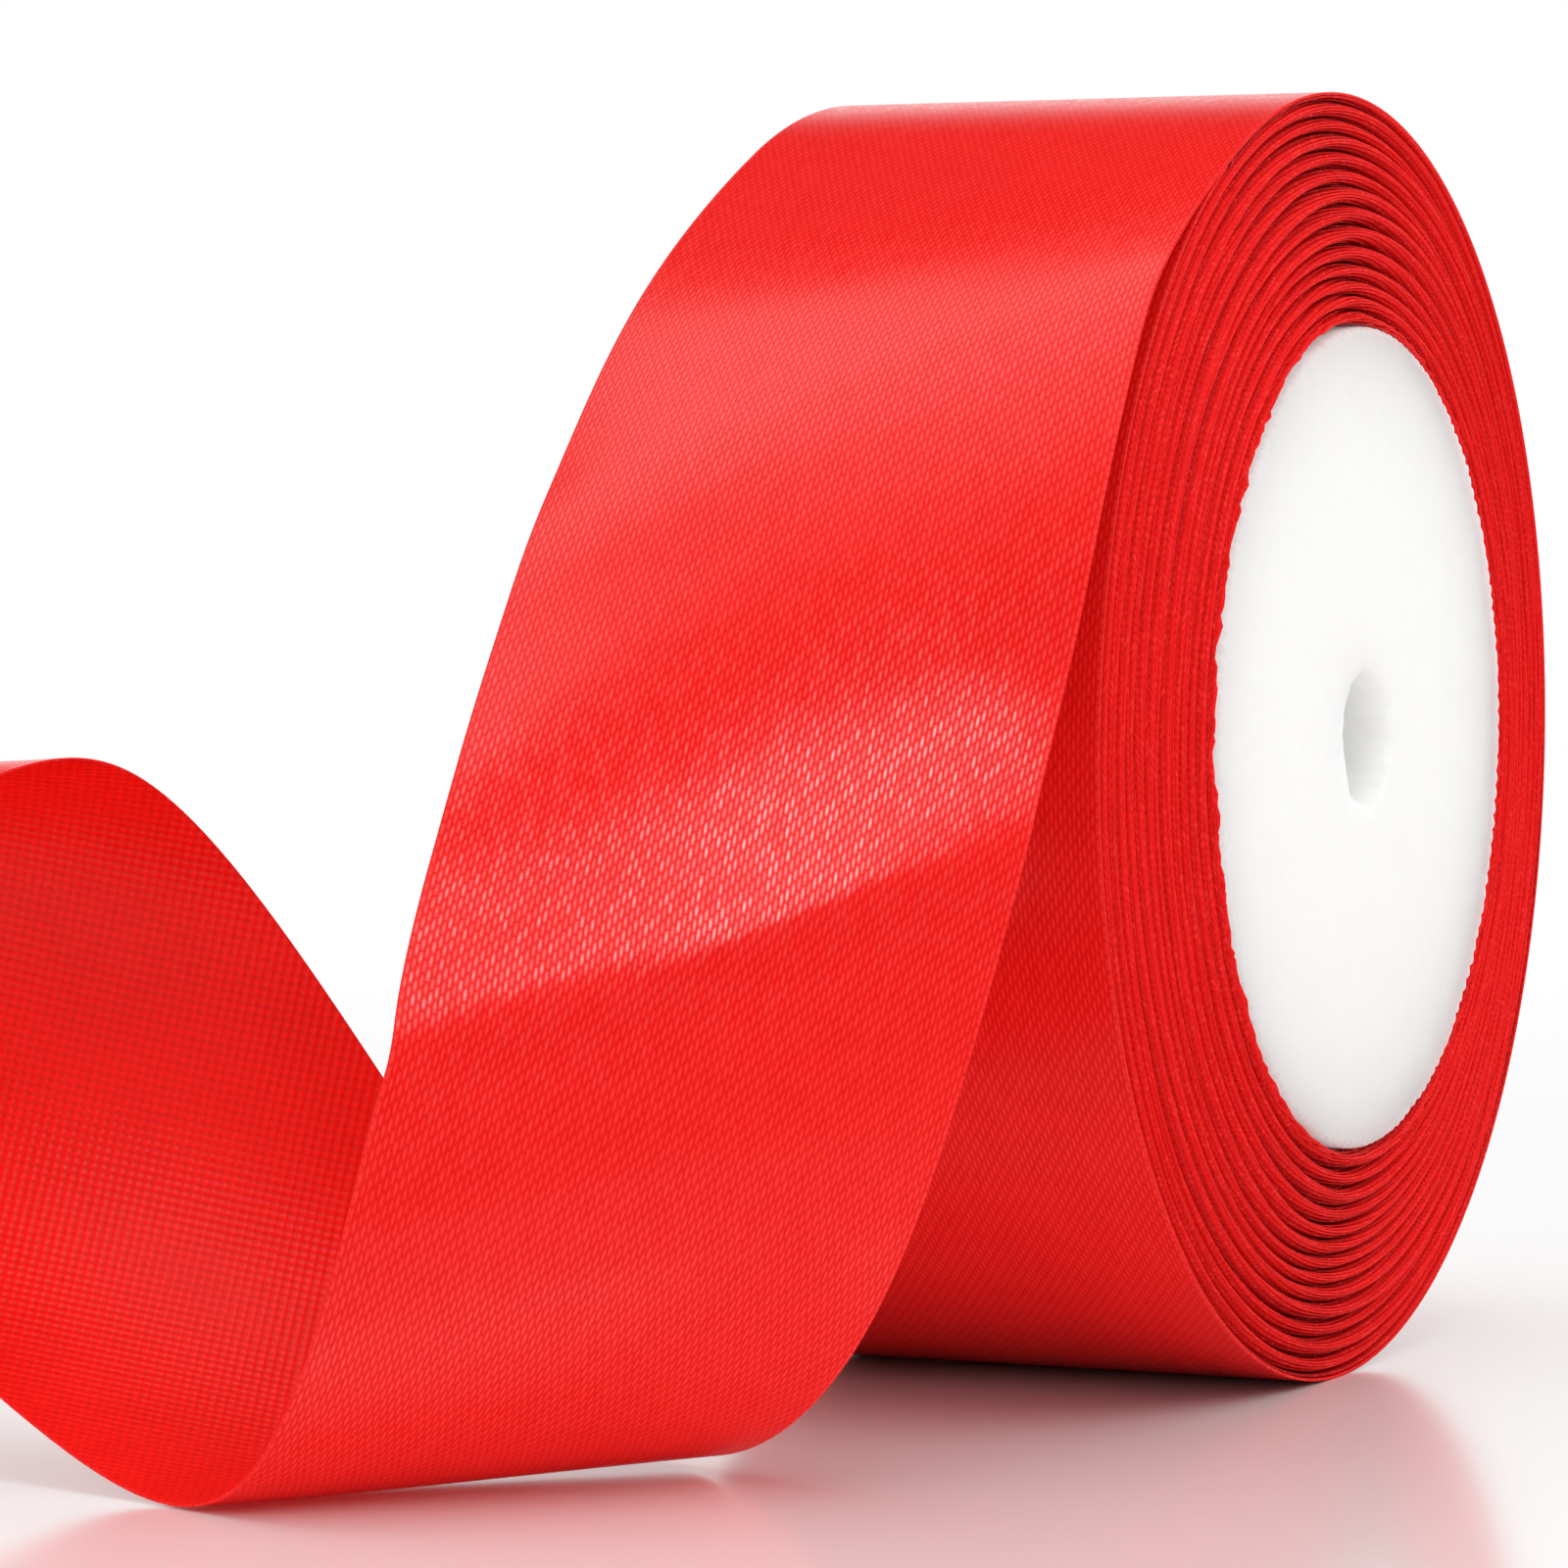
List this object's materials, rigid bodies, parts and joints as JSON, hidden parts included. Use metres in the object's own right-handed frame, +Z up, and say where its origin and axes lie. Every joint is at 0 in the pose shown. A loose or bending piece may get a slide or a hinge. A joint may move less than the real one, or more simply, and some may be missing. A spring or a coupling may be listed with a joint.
{
  "type": "ribbon spool",
  "caption": "Flangeless roll of satin gift ribbon wound on a bored foam core, with its free end drawn off over the front.",
  "frame": {"origin": "centre of the core's bore, halfway along the roll's width", "axes": "+X along the roll's own axis towards the end where the core's face leads, +Z up from the surface the roll stands on, -Y the side on which the free end comes down"},
  "size_m": [0.1104, 0.1487, 0.0942],
  "materials": {
    "foam": "white bead foam, matt, faint bead pattern",
    "tape": "clear adhesive tape",
    "ribbon_edges": "stacked woven selvedges of red satin ribbon",
    "ribbon": "bright red single-face satin, plain weave on the back"
  },
  "bodies": {
    "tail": {"last_lap": "ribbon", "free_tail": "ribbon"},
    "roll": {"foam_core": "foam", "starter_tape": "tape", "lap_group_01": "ribbon_edges", "lap_group_02": "ribbon_edges", "lap_group_03": "ribbon_edges", "lap_group_04": "ribbon_edges", "lap_group_05": "ribbon_edges", "lap_group_06": "ribbon_edges", "lap_group_07": "ribbon_edges", "lap_group_08": "ribbon_edges", "lap_group_09": "ribbon_edges", "lap_group_10": "ribbon_edges", "lap_group_11": "ribbon_edges", "lap_group_12": "ribbon_edges", "lap_group_13": "ribbon_edges", "lap_group_14": "ribbon_edges", "lap_group_15": "ribbon_edges", "lap_group_16": "ribbon_edges", "lap_group_17": "ribbon_edges", "lap_group_18": "ribbon_edges"}
  },
  "joints": [
    {"name": "roll_spin", "type": "hinge", "parent": "tail", "child": "roll", "pos_m": [0, 0, 0], "axis": [1, 0, 0], "continuous": true}
  ]
}
